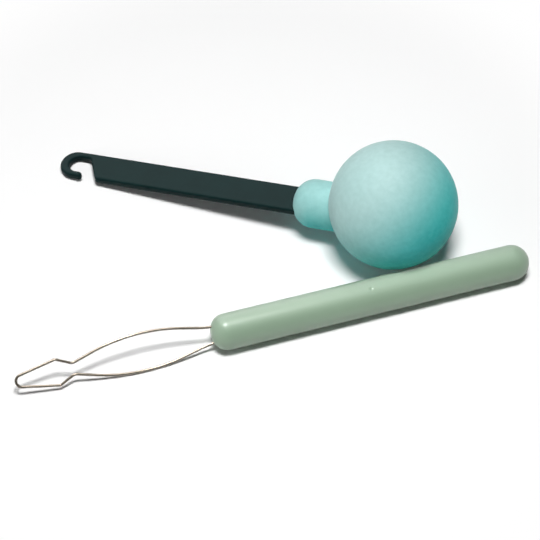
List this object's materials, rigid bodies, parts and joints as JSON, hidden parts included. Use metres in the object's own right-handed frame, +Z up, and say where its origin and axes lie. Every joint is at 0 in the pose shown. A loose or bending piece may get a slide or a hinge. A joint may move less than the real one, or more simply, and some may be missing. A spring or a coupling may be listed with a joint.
{
  "type": "dressing aid set",
  "caption": "Dressing aid set: a button hook with a round moulded handle and a bent wire loop, beside a flat bar with a C-shaped hook and a foam ball grip.",
  "frame": {"origin": "middle of the underside of the set's bounding box, on the surface that both tools lie on", "axes": "+X along the button hook from the tip of its wire to the rear of its handle, +Y towards the ball-grip hook, +Z up"},
  "size_m": [0.2316, 0.1308, 0.057],
  "materials": {
    "handle": "glossy sage green",
    "wire": "bright drawn stainless wire",
    "bar": "satin dark teal grey",
    "foam": "matte fine-grained teal foam"
  },
  "bodies": {
    "button_hook": {"handle_lower": "handle", "handle_upper": "handle", "wire_loop": "wire"},
    "ball_hook": {"hook_bar": "bar", "ball_grip": "foam"}
  },
  "joints": [
    {"name": "ball_hook_lift", "type": "slide", "parent": "button_hook", "child": "ball_hook", "axis": [0, 0, 1], "range_m": [0, 0.1]}
  ]
}
